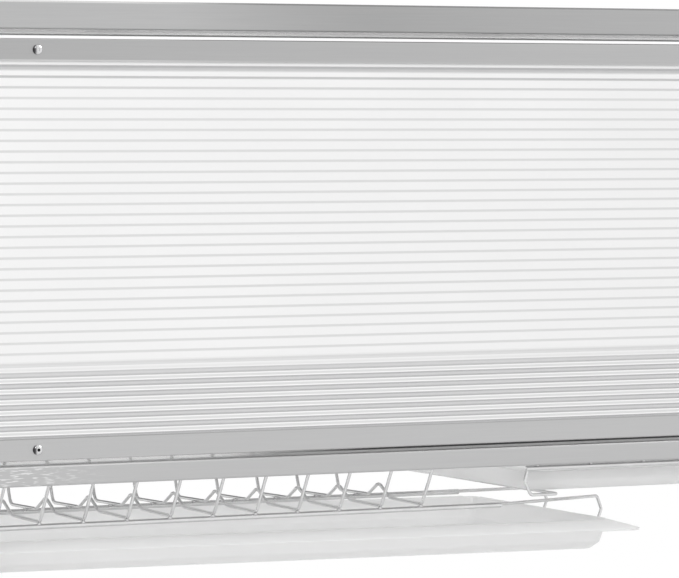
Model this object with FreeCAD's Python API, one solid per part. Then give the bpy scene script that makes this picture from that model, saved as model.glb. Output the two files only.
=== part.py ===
import FreeCAD, Part
import math
import os

# Over-sink dish rack: a glazed cabinet on two side frames, with a flip-up door,
# a plate rack and a bowl rack in its floor, and a pull-out drip tray under each rack.
# Millimetres. X runs along the width, Y from front to back, Z up.
# The origin is on the worktop, under the middle of the cabinet.

os.makedirs("parts", exist_ok=True)
Vector = FreeCAD.Vector

# Overall sizes
overall_width = 850.0
overall_depth = 300.0
under_height = 430.0
cabinet_height = 341.2

# Sheet, tube and rod stock
post_width = 20.0
post_wall = 1.0
post_corner = 2.0
plug_corner = 1.2
rail_sheet = 1.0
fold_radius = 1.4
fold_chord_count = 3
strip_sheet = 0.9
wire_radius = 1.25
bar_radius = 2.0

# Rails between the posts
top_rail_height = 20.0
top_rail_depth = 14.0
bottom_rail_height = 14.4
bottom_rail_shelf = 15.0
front_lip_depth = 9.0
rear_lip_depth = 14.0
base_rail_height = 40.0

# Feet and caps of the posts
foot_thickness = 4.0
plug_length = 12.0
cap_thickness = 2.0

# Twin-wall sheets
panel_thickness = 4.0
panel_skin = 0.5
panel_web = 0.5
rib_pitch = 7.5
panel_insert = 5.5

# Door and rear wall
door_side_gap = 2.0
door_bottom_gap = 3.6
door_top_gap = 6.6
strip_height = 15.8
door_edge_width = 8.0
rear_top_strip_height = 18.1
rear_bottom_strip_height = 31.4
top_clip_width = 36.0
top_clip_inset = 237.0
bottom_clip_width = 28.0
left_clip_inset = 261.0
right_clip_inset = 91.0
clip_overlap = 16.0
top_clip_reach = 13.0
bottom_clip_reach = 4.5

# Screws, hinge pins and stops
strip_screw_inset = 48.0
strip_screw_radius = 1.5
strip_head_radius = 3.7
strip_head_height = 2.0
strip_screw_length = 4.0
pin_radius = 1.5
pin_grip = 8.0
tongue_length = 8.0
washer_radius = 3.0
stop_width = 8.0
stop_depth = 6.0
stop_height = 12.0
stop_place = 40.0
seal_height = 2.8
seal_thickness = 2.0
seal_gap = 0.5

# Plate rack, as depths behind the front face and heights from the rails' underside
plate_wire_count = 11
plate_wire_pitch = 34.4
plate_wire_inset = 32.4
leg_depth = 18.35
leg_lean_angle = 30.3
leg_top = 8.0
plate_floor = -29.0
floor_rise = 0.8
hump_start = 86.0
hump_peak = 103.5
hump_end = 121.0
hump_height = 10.8
rear_foot_depth = 169.0
rear_shoulder_depth = 188.0
rack_bar_reach = 22.4
rack_gap = 58.5
foot_bar_depth = 36.5
second_bar_depth = 141.0
foot_bar_overhang = 68.6
second_bar_overhang = 90.0
wire_bend = 6.0
sharp_turn_angle = 35.0
wire_flat_count = 8
bar_flat_count = 12

# Bowl rack
bowl_wire_count = 8
bowl_wire_inset = 16.0
bowl_floor = -0.6
bowl_bar_depth = 20.5
bowl_middle_bar_depth = 140.0
bowl_rear_bar_inset = 43.0
bowl_rear_foot_inset = 38.0
bowl_rear_rise = 8.0
bowl_bar_overhang = 10.0

# Plate drip tray
plate_tray_inset = 3.0
plate_tray_overhang = 184.6
plate_tray_front = 15.0
plate_tray_rear_inset = 30.0
plate_rim_top = -41.5
plate_rim_drop = 7.1
plate_rim_width = 20.0
plate_tray_depth = 23.0
plate_tray_slope_angle = 0.6
plate_tray_draft = 4.0
plate_tray_corner = 14.0
least_tray_corner = 8.0
bottom_bevel = 5.0
tray_wall = 1.5

# Bowl drip tray
bowl_tray_inset = 11.0
bowl_tray_overhang = 5.5
bowl_tray_front = 22.0
bowl_tray_rear_inset = 26.0
bowl_tray_top = -7.0
bowl_tray_fold = 7.0
bowl_tray_depth = 16.0
bowl_tray_draft = 9.0
bowl_tray_corner = 24.0

# Hangers of the plate tray and runners of the bowl tray
hanger_front_depth = 96.0
hanger_rear_depth = 180.0
hanger_weld = 16.0
hanger_weld_end = 4.0
hanger_bulge = 4.0
hanger_inset = 9.0
runner_inset = 25.0
runner_weld = 12.0
runner_bulge = 1.25
runner_head_lean = 1.25
runner_foot_lean = 4.0
hanger_bend = 3.5

# Clearances
weld_gap = 0.05
fit_gap = 0.05
sheet_gap = 0.1
slide_gap = 0.3

# Derived places
half_width = overall_width / 2.0
front_face = -overall_depth / 2.0
post_inner = half_width - post_width
rail_base = under_height
roof = rail_base + cabinet_height
top_rail_base = roof - top_rail_height
bottom_rail_top = rail_base + bottom_rail_height
door_low = bottom_rail_top + door_bottom_gap
door_high = top_rail_base - door_top_gap
door_half = post_inner - door_side_gap
strip_thickness = panel_thickness + 2.0 * sheet_gap + 2.0 * strip_sheet
pivot_height = door_high - strip_height / 2.0
pivot_depth = front_face + strip_thickness / 2.0
plate_wire_first = plate_wire_inset - post_inner
plate_wire_last = plate_wire_first + (plate_wire_count - 1) * plate_wire_pitch
bowl_wire_first = plate_wire_last + rack_bar_reach + rack_gap + bowl_bar_overhang
bowl_wire_last = post_inner - bowl_wire_inset
bowl_wire_pitch = (bowl_wire_last - bowl_wire_first) / (bowl_wire_count - 1)
plate_tray_left = plate_tray_inset - post_inner
plate_tray_right = plate_wire_last + plate_tray_overhang
plate_tray_back = overall_depth - plate_tray_rear_inset
bowl_tray_left = bowl_wire_first - bowl_tray_overhang
bowl_tray_right = post_inner - bowl_tray_inset
bowl_tray_back = overall_depth - bowl_tray_rear_inset
bowl_rear_bar_depth = overall_depth - bowl_rear_bar_inset
bowl_rear_foot_depth = overall_depth - bowl_rear_foot_inset


def save(name, solids):
    """Write one node, as one solid or as a group of separate solids."""
    if not isinstance(solids, list):
        solids = [solids]
    shape = solids[0] if len(solids) == 1 else Part.makeCompound(solids)
    shape.exportStep(os.path.join("parts", name + ".step"))


def block(x0, x1, y0, y1, z0, z1):
    """A plain box between its limits."""
    return Part.makeBox(x1 - x0, y1 - y0, z1 - z0, Vector(x0, y0, z0))


def rod(start, end, radius):
    """A straight round rod between two points."""
    along = end - start
    return Part.makeCylinder(radius, along.Length, start, along)


def outline(points, radii=None):
    """A closed wire through points, each corner rounded by its own radius."""
    if radii is None:
        radii = [0.0] * len(points)
    entries = []
    for index, point in enumerate(points):
        back = (points[index - 1] - point).normalize()
        ahead = (points[(index + 1) % len(points)] - point).normalize()
        half = back.getAngle(ahead) / 2.0
        reach = radii[index] / math.tan(half)
        crown = point + (back + ahead).normalize() * (radii[index] / math.sin(half) - radii[index])
        entries.append((point + back * reach, crown, point + ahead * reach))
    edges = []
    for index, (entry, crown, leave) in enumerate(entries):
        if radii[index] > 0.0:
            edges.append(Part.Arc(entry, crown, leave).toShape())
        target = entries[(index + 1) % len(points)][0]
        edges.append(Part.LineSegment(leave, target).toShape())
    return Part.Wire(edges)


def folded(points, radii):
    """A closed wire through points, with each small bend in short chords."""
    path = []
    for index, point in enumerate(points):
        if radii[index] == 0.0:
            path.append(point)
            continue
        back = (points[index - 1] - point).normalize()
        ahead = (points[(index + 1) % len(points)] - point).normalize()
        half = back.getAngle(ahead) / 2.0
        reach = radii[index] / math.tan(half)
        centre = point + (back + ahead).normalize() * (radii[index] / math.sin(half))
        start = point + back * reach - centre
        end = point + ahead * reach - centre
        turn = start.getAngle(end)
        for step in range(fold_chord_count + 1):
            share = step / fold_chord_count
            away = start * math.sin(turn * (1.0 - share)) + end * math.sin(turn * share)
            path.append(centre + away * (1.0 / math.sin(turn)))
    return Part.makePolygon(path + [path[0]])


def extruded(wires, travel):
    """A prism from an outer wire and the wires of its holes."""
    face = Part.makeFace(wires, "Part::FaceMakerBullseye")
    return face.extrude(travel)


def rectangle(place, u0, u1, v0, v1, radius=0.0):
    """A rectangle in the plane that place maps u and v onto."""
    corners = [place(u0, v0), place(u1, v0), place(u1, v1), place(u0, v1)]
    return outline(corners, [radius] * 4)


def eased(points, bend):
    """The points of a bent rod: each sharp turn becomes a chord across its bend."""
    path = [points[0]]
    for before, point, after in zip(points, points[1:], points[2:]):
        back = (before - point).normalize()
        ahead = (after - point).normalize()
        turn = math.pi - back.getAngle(ahead)
        if math.degrees(turn) < sharp_turn_angle:
            path.append(point)
            continue
        reach = bend * math.tan(turn / 2.0)
        path.append(point + back * reach)
        path.append(point + ahead * reach)
    path.append(points[-1])
    return path


def section_ring(start, along, radius, flats):
    """Points of a regular section round the start of a rod, square to it."""
    side = along.cross(Vector(0, 0, 1))
    if side.Length < 0.1:
        side = Vector(1, 0, 0)
    side.normalize()
    upward = side.cross(along)
    ring = []
    for step in range(flats):
        turn = math.radians(360.0 * (step + 0.5) / flats)
        ring.append(start + (side * math.cos(turn) + upward * math.sin(turn)) * radius)
    return ring


def mitred(ring, along, corner, normal):
    """A ring slid along a run onto the plane of its end."""
    return [point + along * ((corner - point).dot(normal) / along.dot(normal)) for point in ring]


def bent_rod(points, radius, flats, bend=0.0):
    """A rod through points: a section with flats, joined at each turn in a mitre."""
    path = eased(points, bend)
    runs = [(end - start).normalize() for start, end in zip(path, path[1:])]
    rings = [section_ring(path[0], runs[0], radius, flats)]
    for index, along in enumerate(runs):
        last = index == len(runs) - 1
        normal = along if last else (along + runs[index + 1]).normalize()
        rings.append(mitred(rings[-1], along, path[index + 1], normal))
    faces = [Part.Face(Part.makePolygon(ring + [ring[0]])) for ring in (rings[0], rings[-1])]
    for near, far in zip(rings, rings[1:]):
        for step in range(flats):
            after = (step + 1) % flats
            corners = [near[step], near[after], far[after], far[step], near[step]]
            faces.append(Part.Face(Part.makePolygon(corners)))
    solid = Part.makeSolid(Part.makeShell(faces))
    if solid.Volume < 0.0:
        solid.reverse()
    return solid


def mirrored(shape, axis):
    """The mirror image across the middle plane that is square to axis."""
    return shape.mirror(Vector(0, 0, 0), axis)


# Side frames: square posts and rails, welded, with feet and caps

def square_tube(place, travel):
    """A square tube whose outer corners are rounded."""
    far = post_width
    corners = [place(0, 0), place(far, 0), place(far, far), place(0, far)]
    skin = folded(corners, [post_corner] * 4)
    bore = rectangle(place, post_wall, post_width - post_wall, post_wall, post_width - post_wall)
    return extruded([skin, bore], travel)


def post():
    """A post of the frame, in its place at the front left."""

    def plan(u, v):
        return Vector(-half_width + u, front_face + v, foot_thickness)

    return square_tube(plan, Vector(0, 0, roof - cap_thickness - foot_thickness))


def bored_post():
    """The front left post, with a hole in its inner wall for the hinge pin."""
    start = Vector(-post_inner - 2.0 * post_wall, pivot_depth, pivot_height)
    end = Vector(-post_inner + post_wall, pivot_depth, pivot_height)
    return post().cut(rod(start, end, pin_radius + fit_gap))


def plug(base, flange, upward):
    """A square plug in a post's end, with a flange of the post's own outline."""
    inset = post_wall + sheet_gap

    def plan(u, v):
        return Vector(-half_width + u, front_face + v, base)

    cut = plug_corner
    far = post_width - cut
    corners = [(cut, 0), (far, 0), (post_width, cut), (post_width, far)]
    corners += [(far, post_width), (cut, post_width), (0, far), (0, cut)]
    plate = extruded([outline([plan(u, v) for u, v in corners])], Vector(0, 0, flange))
    stem = rectangle(plan, inset, post_width - inset, inset, post_width - inset)
    reach = flange + plug_length if upward else -plug_length
    return plate.fuse(extruded([stem], Vector(0, 0, reach))).removeSplitter()


def four_corners(shape):
    """The shape at the front left and its images at the other three corners."""
    right = mirrored(shape, Vector(1, 0, 0))
    return [shape, right, mirrored(shape, Vector(0, 1, 0)), mirrored(right, Vector(0, 1, 0))]


def channel(place, height, shelf, lip):
    """The outline of a folded channel that opens towards positive u."""
    sheet = rail_sheet
    points = [
        place(0, 0),
        place(shelf, 0),
        place(shelf, sheet),
        place(sheet, sheet),
        place(sheet, height - sheet),
        place(lip, height - sheet),
        place(lip, height),
        place(0, height),
    ]
    radii = [fold_radius, 0, 0, 0, 0, 0, 0, fold_radius]
    return folded(points, radii)


def side_rail(base, height):
    """A left side rail between the posts, open to the inside."""
    start = front_face + post_width

    def section(u, v):
        return Vector(-half_width + u, start, base + v)

    wire = channel(section, height, post_width, post_width)
    return extruded([wire], Vector(0, overall_depth - 2.0 * post_width, 0))


def base_rail():
    """The left square tube that joins the feet of a side frame."""
    start = front_face + post_width

    def section(u, v):
        return Vector(-half_width + u, start, base_rail_height + v)

    return square_tube(section, Vector(0, overall_depth - 2.0 * post_width, 0))


def build_side_frames():
    front_left = bored_post()
    rear_left = mirrored(post(), Vector(0, 1, 0))
    save("front_left_post", front_left)
    save("front_right_post", mirrored(front_left, Vector(1, 0, 0)))
    save("rear_left_post", rear_left)
    save("rear_right_post", mirrored(rear_left, Vector(1, 0, 0)))
    save("rubber_feet", four_corners(plug(0.0, foot_thickness, True)))
    save("post_caps", four_corners(plug(roof - cap_thickness, cap_thickness, False)))
    rails = {
        "base_rail": base_rail(),
        "lower_side_rail": side_rail(rail_base, bottom_rail_height),
        "upper_side_rail": side_rail(top_rail_base, top_rail_height),
    }
    for name, rail in rails.items():
        save("left_" + name, rail)
        save("right_" + name, mirrored(rail, Vector(1, 0, 0)))


# Cross rails, welded between the posts

def cross_rail(base, height, shelf, lip):
    """A front cross rail between the posts, open to the inside."""

    def section(u, v):
        return Vector(-post_inner, front_face + u, base + v)

    wire = channel(section, height, shelf, lip)
    return extruded([wire], Vector(2.0 * post_inner, 0, 0))


def build_cross_rails():
    top = cross_rail(top_rail_base, top_rail_height, top_rail_depth, top_rail_depth)
    front_low = cross_rail(rail_base, bottom_rail_height, bottom_rail_shelf, front_lip_depth)
    rear_low = cross_rail(rail_base, bottom_rail_height, bottom_rail_shelf, rear_lip_depth)
    save("front_top_rail", top)
    save("rear_top_rail", mirrored(top, Vector(0, 1, 0)))
    save("front_bottom_rail", front_low)
    save("rear_bottom_rail", mirrored(rear_low, Vector(0, 1, 0)))


# Twin-wall sheets and the folded strips that hold their edges

def twin_wall(place, width, travel):
    """A hollow sheet: two skins and a row of webs, extruded along its cells."""
    cells = int((width - panel_web) / rib_pitch)
    spare = (width - panel_web - cells * rib_pitch) / 2.0
    wires = [rectangle(place, 0, panel_thickness, 0, width)]
    for cell in range(cells):
        low = spare + panel_web + cell * rib_pitch
        high = low + rib_pitch - panel_web
        wires.append(rectangle(place, panel_skin, panel_thickness - panel_skin, low, high))
    return extruded(wires, travel)


def strip(place, height, travel):
    """A folded strip, closed at v of 0 and open towards positive v."""
    thickness = strip_thickness
    points = [
        place(0, 0),
        place(thickness, 0),
        place(thickness, height),
        place(thickness - strip_sheet, height),
        place(thickness - strip_sheet, strip_sheet),
        place(strip_sheet, strip_sheet),
        place(strip_sheet, height),
        place(0, height),
    ]
    radii = [strip_sheet, strip_sheet, 0, 0, 0, 0, 0, 0]
    return extruded([folded(points, radii)], travel)


def front_strip(half_length, base, height, direction):
    """A strip in the front plane, from its closed edge at base up or down."""

    def section(u, v):
        return Vector(-half_length, front_face + u, base + direction * v)

    return strip(section, height, Vector(2.0 * half_length, 0, 0))


def door_strip(base, direction):
    """A strip of the door, with a screw hole near each end of its front leg."""
    body = front_strip(door_half - door_edge_width, base, strip_height, direction)
    middle = base + direction * strip_height / 2.0
    for side in (-1, 1):
        start = Vector(side * (door_half - strip_screw_inset), front_face - strip_sheet, middle)
        end = Vector(side * (door_half - strip_screw_inset), front_face + 2.0 * strip_sheet, middle)
        body = body.cut(rod(start, end, strip_screw_radius + fit_gap))
    return body


def front_sheet(half_length, low, high):
    """A sheet in the front plane, with its cells along X."""

    def section(u, v):
        depth = front_face + strip_sheet + sheet_gap + u
        return Vector(-half_length, depth, low + v)

    return twin_wall(section, high - low, Vector(2.0 * half_length, 0, 0))


def door_screws():
    """Button-head screws through the front legs of both door strips."""
    screws = []
    for height in (door_high - strip_height / 2.0, door_low + strip_height / 2.0):
        for side in (-1, 1):
            face = Vector(side * (door_half - strip_screw_inset), front_face, height)
            end = face + Vector(0, strip_screw_length, 0)
            top = face - Vector(0, strip_head_height, 0)
            screws.append(rod(top, face, strip_head_radius).fuse(rod(face, end, strip_screw_radius)))
    return screws


def clip(place, width, edge, direction, reach):
    """A flat clip on the inside of a front strip, reaching past its open edge."""
    inside = front_face + strip_thickness
    low, high = sorted((edge - direction * clip_overlap, edge + direction * reach))
    left = place - width / 2.0
    return block(left, left + width, inside, inside + rail_sheet, low, high)


def build_rear_wall():
    top_edge = door_high - rear_top_strip_height
    bottom_edge = door_low + rear_bottom_strip_height
    top = front_strip(post_inner, door_high, rear_top_strip_height, -1)
    bottom = front_strip(post_inner, door_low, rear_bottom_strip_height, 1)
    sheet = front_sheet(post_inner - sheet_gap, bottom_edge - panel_insert, top_edge + panel_insert)
    top_clip_place = post_inner - top_clip_inset
    bottom_clip_places = (left_clip_inset - post_inner, post_inner - right_clip_inset)
    clips = []
    for side in (-1, 1):
        clips.append(clip(side * top_clip_place, top_clip_width, top_edge, -1, top_clip_reach))
    for place in bottom_clip_places:
        clips.append(clip(place, bottom_clip_width, bottom_edge, 1, bottom_clip_reach))
    turn = Vector(0, 1, 0)
    save("rear_top_strip", mirrored(top, turn))
    save("rear_bottom_strip", mirrored(bottom, turn))
    save("rear_panel", mirrored(sheet, turn))
    save("rear_panel_clips", [mirrored(piece, turn) for piece in clips])


def build_side_walls():
    start = front_face + post_width
    length = overall_depth - 2.0 * post_width
    low, high = bottom_rail_top, top_rail_base

    def low_section(u, v):
        return Vector(-half_width + u, start, low + v)

    def high_section(u, v):
        return Vector(-half_width + u, start, high - v)

    strips = [strip(place, strip_height, Vector(0, length, 0)) for place in (low_section, high_section)]
    edge = strip_height - panel_insert
    outer = -half_width + strip_sheet + sheet_gap
    sheet = block(outer, outer + panel_thickness, start, start + length, low + edge, high - edge)
    turn = Vector(1, 0, 0)
    save("left_side_strips", strips)
    save("right_side_strips", [mirrored(piece, turn) for piece in strips])
    save("left_side_panel", sheet)
    save("right_side_panel", mirrored(sheet, turn))


def build_top_panel():
    """The roof sheet lies in the channels of the front and rear top rails."""
    reach = overall_depth / 2.0 - rail_sheet - slide_gap
    base = top_rail_base + rail_sheet
    save("top_panel", block(-post_inner, post_inner, -reach, reach, base, base + panel_thickness))


# Door: sheet, strips, edge trims, pivot blocks and screws

def edge_trim():
    """The door's left edge channel, from its foot up to the pivot block."""

    def section(u, v):
        return Vector(-door_half + v, front_face + u, door_low)

    return strip(section, door_edge_width, Vector(0, 0, door_high - strip_height - door_low))


def pivot_block():
    """The door's top left corner, with a tongue in the strip and the hinge bore."""
    rear = front_face + strip_thickness
    inner = -door_half + door_edge_width
    low = door_high - strip_height
    body = block(-door_half, inner, front_face, rear, low, door_high)
    inset = strip_sheet + weld_gap
    tongue_low = low + panel_insert + sheet_gap
    tongue_high = door_high - inset
    tongue = block(inner, inner + tongue_length, front_face + inset, rear - inset, tongue_low, tongue_high)
    left = -door_half + strip_sheet
    slot_front = front_face + strip_sheet
    slot = block(left, inner, slot_front, rear - strip_sheet, low, tongue_low)
    start = Vector(-door_half - 1.0, pivot_depth, pivot_height)
    end = Vector(inner - 1.0, pivot_depth, pivot_height)
    body = body.cut(slot).fuse(tongue).removeSplitter()
    return body.cut(rod(start, end, pin_radius + fit_gap))


def build_door():
    sheet_half = door_half - strip_sheet - sheet_gap
    low = door_low + strip_height - panel_insert
    high = door_high - strip_height + panel_insert
    turn = Vector(1, 0, 0)
    save("door_panel", front_sheet(sheet_half, low, high))
    save("door_top_strip", door_strip(door_high, -1))
    save("door_bottom_strip", door_strip(door_low, 1))
    save("door_left_edge", edge_trim())
    save("door_right_edge", mirrored(edge_trim(), turn))
    save("door_pivot_blocks", [pivot_block(), mirrored(pivot_block(), turn)])
    save("door_screws", door_screws())


def hinge_pin():
    """The left hinge pin, fast in the post's wall and free in the door's pivot block."""
    start = Vector(-post_inner - pin_grip, pivot_depth, pivot_height)
    end = Vector(-door_half + door_edge_width - 2.0, pivot_depth, pivot_height)
    return rod(start, end, pin_radius)


def hinge_washer():
    """The left washer that holds the door off the post."""
    start = Vector(-post_inner, pivot_depth, pivot_height)
    end = Vector(-door_half - slide_gap, pivot_depth, pivot_height)
    return rod(start, end, washer_radius).cut(rod(start, end, pin_radius + fit_gap))


def door_stop():
    """The left rubber stop behind the foot of the door."""
    x0 = -post_inner
    y0 = front_face + strip_thickness + slide_gap
    z0 = rail_base + stop_place
    return block(x0, x0 + stop_width, y0, y0 + stop_depth, z0, z0 + stop_height)


def door_seal():
    """The rubber strip on the bottom rail's lip that the door's foot closes against."""
    near = front_face + strip_thickness + seal_gap
    base = bottom_rail_top + weld_gap
    return block(-post_inner, post_inner, near, near + seal_thickness, base, base + seal_height)


def build_hinges():
    turn = Vector(1, 0, 0)
    pieces = {"hinge_pins": hinge_pin(), "hinge_washers": hinge_washer(), "door_stops": door_stop()}
    for name, piece in pieces.items():
        save(name, [piece, mirrored(piece, turn)])
    save("door_seal", door_seal())


# Plate rack and bowl rack

def leg_depth_at(height):
    """Depth of the racks' leaning front legs at a height from the rails' underside."""
    return leg_depth - height * math.tan(math.radians(leg_lean_angle))


def across(x, depth, height):
    """A point from its depth behind the front face and its height on the rails."""
    return Vector(x, front_face + depth, rail_base + height)


def front_bar_centre():
    """Depth and height of the top front bar, which lies on the front rail's shelf."""
    height = rail_sheet + weld_gap + bar_radius
    apart = wire_radius + bar_radius + weld_gap
    lean = math.radians(leg_lean_angle)
    depth = leg_depth_at(height + apart * math.sin(lean)) - apart * math.cos(lean)
    return depth, height


def rear_bar_centre():
    """Depth and height of the top rear bar, which lies on the rear rail's lip."""
    depth = overall_depth - strip_thickness - rail_sheet - bar_radius - 2.0
    return depth, bottom_rail_height + weld_gap + bar_radius


def bar_under(height):
    """Height of a bar that carries wires whose middle is at that height."""
    return height - wire_radius - bar_radius - weld_gap


def rear_wire_height():
    """Height of the wires where they lie on the top rear bar."""
    return rear_bar_centre()[1] + bar_radius + weld_gap + wire_radius


def plate_wire(x):
    """One W-shaped wire: front leg, floor with its hump, rear leg and tail."""
    floor = plate_floor
    ridge = floor + floor_rise
    points = [
        (leg_depth_at(leg_top), leg_top),
        (leg_depth_at(floor), floor),
        (hump_start, ridge),
        (hump_peak, floor + hump_height),
        (hump_end, ridge),
        (rear_foot_depth, floor),
        (rear_shoulder_depth, rear_wire_height()),
        (rear_bar_centre()[0] + bar_radius, rear_wire_height()),
    ]
    return bent_rod([across(x, u, v) for u, v in points], wire_radius, wire_flat_count, wire_bend)


def bowl_wire(x):
    """One bowl wire: front leg, level floor, rear rise and tail."""
    points = [
        (leg_depth_at(leg_top), leg_top),
        (leg_depth_at(bowl_floor), bowl_floor),
        (bowl_rear_foot_depth, bowl_floor),
        (bowl_rear_foot_depth + bowl_rear_rise, rear_wire_height()),
        (rear_bar_centre()[0] + bar_radius, rear_wire_height()),
    ]
    return bent_rod([across(x, u, v) for u, v in points], wire_radius, wire_flat_count, wire_bend)


def cross_bar(x0, x1, depth, height):
    """A straight bar along the rack."""
    return bent_rod([across(x0, depth, height), across(x1, depth, height)], bar_radius, bar_flat_count)


def second_bar_height():
    """Height of the second foot bar, under the falling rear floor of the plate wires."""
    fall = (second_bar_depth - hump_end) / (rear_foot_depth - hump_end)
    return bar_under(plate_floor + floor_rise * (1.0 - fall))


def build_plate_rack():
    places = [plate_wire_first + plate_wire_pitch * index for index in range(plate_wire_count)]
    left = plate_wire_first - rack_bar_reach
    right = plate_wire_last + rack_bar_reach
    foot_right = plate_wire_last + foot_bar_overhang
    second_right = plate_wire_last + second_bar_overhang
    front_depth, front_height = front_bar_centre()
    rear_depth, rear_height = rear_bar_centre()
    foot_height = bar_under(plate_floor)
    save("plate_wires", [plate_wire(x) for x in places])
    top_bars = [
        cross_bar(left, right, front_depth, front_height),
        cross_bar(left, right, rear_depth, rear_height),
    ]
    save("plate_rack_top_bars", top_bars)
    foot_bars = [
        cross_bar(left, foot_right, foot_bar_depth, foot_height),
        cross_bar(left, second_right, second_bar_depth, second_bar_height()),
    ]
    save("plate_rack_foot_bars", foot_bars)
    save("left_tray_hanger", tray_hanger(left, left, plate_tray_left, -1))
    save("right_tray_hanger", tray_hanger(foot_right, second_right, plate_tray_right, 1))


def tray_hanger(front_end, rear_end, lip_end, side):
    """A wire from one foot bar's end, down and under the tray's lip, to the other bar."""
    beside = bar_radius + wire_radius + weld_gap
    arm = lip_end + side * (wire_radius + slide_gap + 2.0)
    high = bar_under(plate_floor)
    fall = (lip_end - plate_tray_left) * math.tan(math.radians(plate_tray_slope_angle))
    lip = plate_rim_top - plate_rim_drop - fall
    low = lip - slide_gap - wire_radius
    crown = high - fall / 2.0
    middle = (crown + low) / 2.0
    bulge = arm + side * hanger_bulge
    inner = lip_end - side * hanger_inset
    second = second_bar_height()
    front_weld = foot_bar_depth + beside
    rear_weld = second_bar_depth + beside
    points = [
        across(front_end - side * hanger_weld, front_weld, high),
        across(front_end - side * hanger_weld_end, front_weld, high),
        across(arm, hanger_front_depth, crown),
        across(bulge, hanger_front_depth, middle),
        across(arm, hanger_front_depth, low),
        across(inner, hanger_front_depth, low),
        across(inner, hanger_rear_depth, low),
        across(arm, hanger_rear_depth, low),
        across(bulge, hanger_rear_depth, middle),
        across(arm, hanger_rear_depth, crown),
        across(rear_end - side * hanger_weld_end, rear_weld, second),
        across(rear_end - side * hanger_weld, rear_weld, second),
    ]
    return bent_rod(points, wire_radius, wire_flat_count, hanger_bend)


def bowl_runner(bar_end, tray_end, side):
    """A wire under the bowl tray, hung from the rack's front and rear bars."""
    beside = bar_radius + wire_radius + weld_gap
    arm = bar_end - side * (wire_radius + 1.0)
    high = bar_under(bowl_floor)
    low = bowl_tray_top - bowl_tray_depth - slide_gap - wire_radius
    middle = (high + low) / 2.0
    head = arm - side * runner_head_lean
    bulge = arm + side * runner_bulge
    foot = arm - side * runner_foot_lean
    inner = tray_end - side * runner_inset
    front = bowl_bar_depth + beside
    rear = bowl_tray_back + wire_radius + slide_gap + 1.0
    weld = head - side * runner_weld
    rear_weld = bowl_rear_bar_depth + beside
    points = [
        across(weld, front, high),
        across(head, front, high),
        across(bulge, front, middle),
        across(foot, front, low),
        across(inner, front, low),
        across(inner, rear, low),
        across(foot, rear, low),
        across(bulge, rear, middle),
        across(head, rear, high),
        across(head, rear_weld, high),
        across(weld, rear_weld, high),
    ]
    return bent_rod(points, wire_radius, wire_flat_count, hanger_bend)


def build_bowl_rack():
    places = [bowl_wire_first + bowl_wire_pitch * index for index in range(bowl_wire_count)]
    left = bowl_wire_first - bowl_bar_overhang
    right = bowl_wire_last + bowl_bar_overhang
    front_depth, front_height = front_bar_centre()
    rear_depth, rear_height = rear_bar_centre()
    low = bar_under(bowl_floor)
    save("bowl_wires", [bowl_wire(x) for x in places])
    bars = [cross_bar(left, right, front_depth, front_height)]
    for depth in (bowl_bar_depth, bowl_middle_bar_depth, bowl_rear_bar_depth):
        bars.append(cross_bar(left, right, depth, low))
    bars.append(cross_bar(left, right, rear_depth, rear_height))
    save("bowl_rack_bars", bars)
    save("left_bowl_runner", bowl_runner(left, bowl_tray_left, -1))
    save("right_bowl_runner", bowl_runner(right, bowl_tray_right, 1))


# Drip trays

def tray_ring(limits, inset, height, corner):
    """A rounded rectangle inside a tray's plan, at a height on the rails."""
    left, right, front, rear = limits

    def plan(u, v):
        return across(u, v, height)

    radius = max(corner - inset, least_tray_corner)
    return rectangle(plan, left + inset, right - inset, front + inset, rear - inset, radius)


def tapered(limits, corner, stages):
    """A solid through rings, each with its inset and its height."""
    rings = [tray_ring(limits, inset, height, corner) for inset, height in stages]
    return Part.makeLoft(rings, True, True)


def build_plate_tray():
    limits = (plate_tray_left, plate_tray_right, plate_tray_front, plate_tray_back)
    corner = plate_tray_corner
    top = plate_rim_top
    lip = top - plate_rim_drop
    bottom = top - plate_tray_depth
    wall = plate_rim_width
    foot = wall + plate_tray_draft
    knee = bottom + bottom_bevel
    rim = tapered(limits, corner, [(0.0, lip), (wall, top)])
    hollow = tapered(limits, corner, [(tray_wall, lip), (wall, top - tray_wall)])
    body = tapered(limits, corner, [(wall, top), (foot - 1.0, knee), (foot + bottom_bevel - 1.0, bottom)])
    basin = [
        (wall + tray_wall, top),
        (foot - 1.0 + tray_wall, knee),
        (foot + bottom_bevel - 1.0 + tray_wall, bottom + tray_wall),
    ]
    tray = rim.cut(hollow).fuse(body).removeSplitter()
    tray = tray.cut(tapered(limits, corner, basin))
    tray.rotate(across(plate_tray_left, 0, lip), Vector(0, 1, 0), plate_tray_slope_angle)
    save("plate_drip_tray", tray)


def build_bowl_tray():
    limits = (bowl_tray_left, bowl_tray_right, bowl_tray_front, bowl_tray_back)
    corner = bowl_tray_corner
    top = bowl_tray_top
    fold = top - bowl_tray_fold
    bottom = top - bowl_tray_depth
    body = tapered(limits, corner, [(0.0, top), (1.0, fold), (bowl_tray_draft, bottom)])
    basin = [(tray_wall, top), (1.0 + tray_wall, fold), (bowl_tray_draft + 1.0, bottom + tray_wall)]
    save("bowl_drip_tray", body.cut(tapered(limits, corner, basin)))


build_side_frames()
build_cross_rails()
build_rear_wall()
build_side_walls()
build_top_panel()
build_door()
build_hinges()
build_plate_rack()
build_bowl_rack()
build_plate_tray()
build_bowl_tray()
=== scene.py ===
import math
import bmesh
import bpy
from mathutils import Matrix, Vector


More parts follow.
